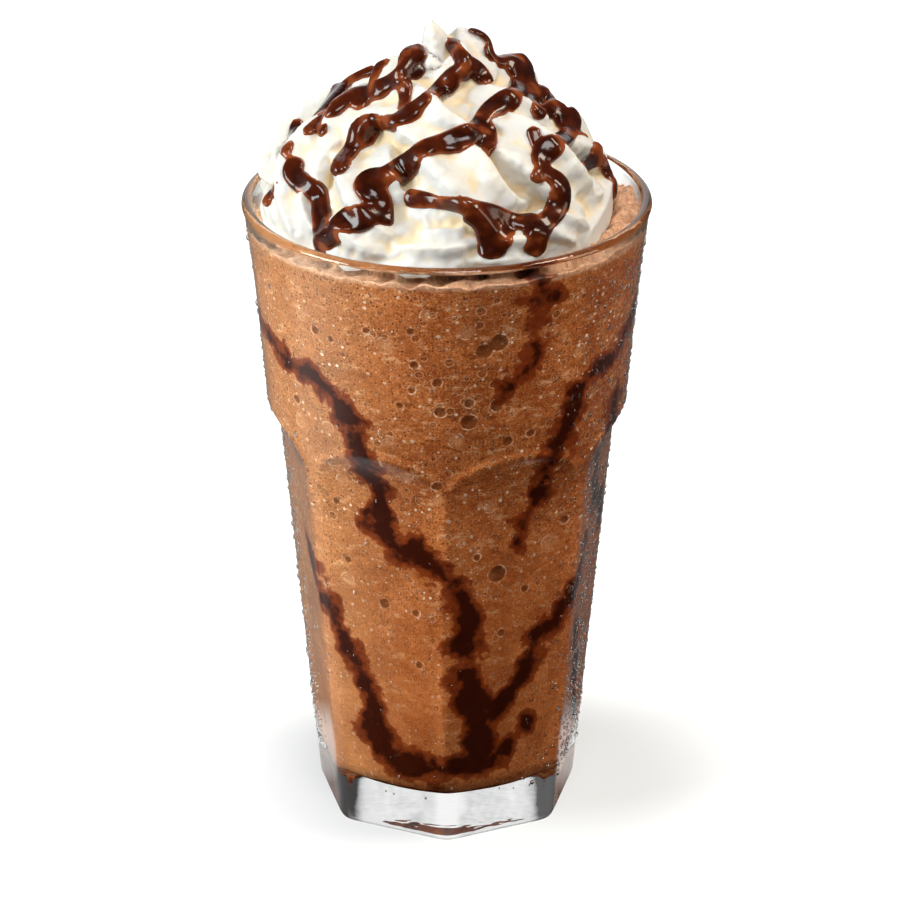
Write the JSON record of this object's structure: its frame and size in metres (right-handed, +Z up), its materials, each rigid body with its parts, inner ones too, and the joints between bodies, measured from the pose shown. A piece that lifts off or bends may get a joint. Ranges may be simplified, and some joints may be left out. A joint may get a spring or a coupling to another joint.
{
  "type": "mocha frappe",
  "caption": "Blended iced mocha in a flat-panelled glass tumbler, topped with piped whipped cream and chocolate drizzle.",
  "frame": {"origin": "centre of the glass's underside, on the table, on the axis of the tumbler", "axes": "+Z up along the tumbler's axis; -Y is the front, where a ridge between two panels faces out; +X to the right"},
  "size_m": [0.0886, 0.0886, 0.1823],
  "materials": {
    "clear_glass": "clear pressed glass, polished, with flat panels",
    "blended_coffee": "thick brown blended drink with air bubbles, dark sauce streaks down the glass",
    "whipped_cream": "soft off-white piped cream with a satin sheen",
    "chocolate_sauce": "thick glossy dark chocolate sauce",
    "water_drops": "small clear drops of condensation"
  },
  "bodies": {
    "root": {"glass": "clear_glass", "drink": "blended_coffee", "whipped_cream": "whipped_cream"}
  },
  "joints": []
}
